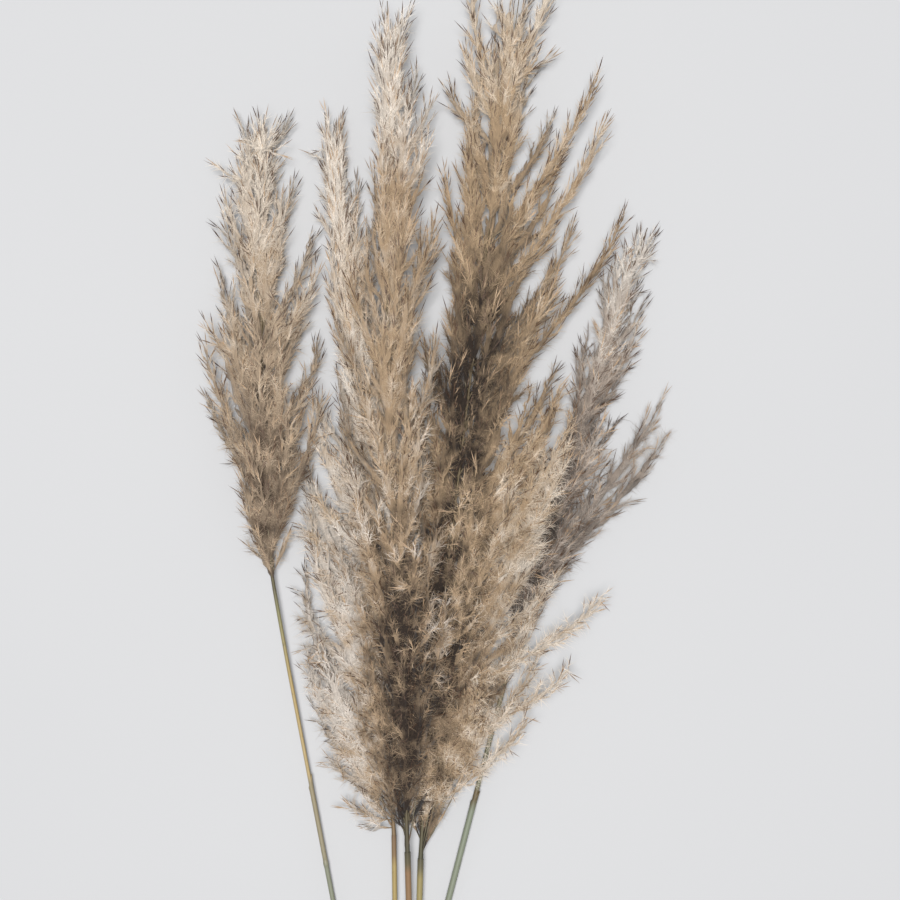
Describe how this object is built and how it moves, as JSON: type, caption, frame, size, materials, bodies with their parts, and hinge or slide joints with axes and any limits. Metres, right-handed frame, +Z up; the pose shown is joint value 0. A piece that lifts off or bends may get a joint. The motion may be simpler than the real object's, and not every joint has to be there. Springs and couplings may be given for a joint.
{
  "type": "dried reed plume bunch",
  "caption": "Bunch of cut dried reed plumes, laid flat: slim hollow straw stems that cross near their cut ends, each with one feathery, branching, taupe plume.",
  "frame": {"origin": "on the surface that the bunch lies on, under the middle of its bounding box", "axes": "+Y runs along the bunch from the cut ends to the tips of the plumes, +X to the right seen from above, +Z up from the surface"},
  "size_m": [0.2462, 0.6394, 0.0574],
  "materials": {
    "plume_left": "dry grey-taupe spikelets in matt silky hair, greyer towards the tip",
    "plume_inner_left": "pale beige spikelets in long matt silky hair",
    "plume_middle": "warm golden-beige spikelets in matt silky hair",
    "plume_inner_right": "darker brown-taupe spikelets with pale tips and less hair",
    "plume_right": "dark brown-grey spikelets below, pale grey and silky towards the tip",
    "stem_left": "dry straw, green by the plume, yellow in the middle, grey-green leaf sheath below, satin",
    "stem_inner_left": "dry yellow straw, satin",
    "stem_middle": "dry brown straw, dark green neck, satin",
    "stem_inner_right": "dry yellow-green straw, dark green neck, satin",
    "stem_right": "dry sage-green straw in a grey-green leaf sheath, satin"
  },
  "bodies": {
    "root": {"plume_left": "plume_left", "plume_inner_left": "plume_inner_left", "plume_middle": "plume_middle", "plume_inner_right": "plume_inner_right", "plume_right": "plume_right", "stem_left": "stem_left", "stem_inner_left": "stem_inner_left", "stem_middle": "stem_middle", "stem_inner_right": "stem_inner_right", "stem_right": "stem_right"}
  },
  "joints": []
}
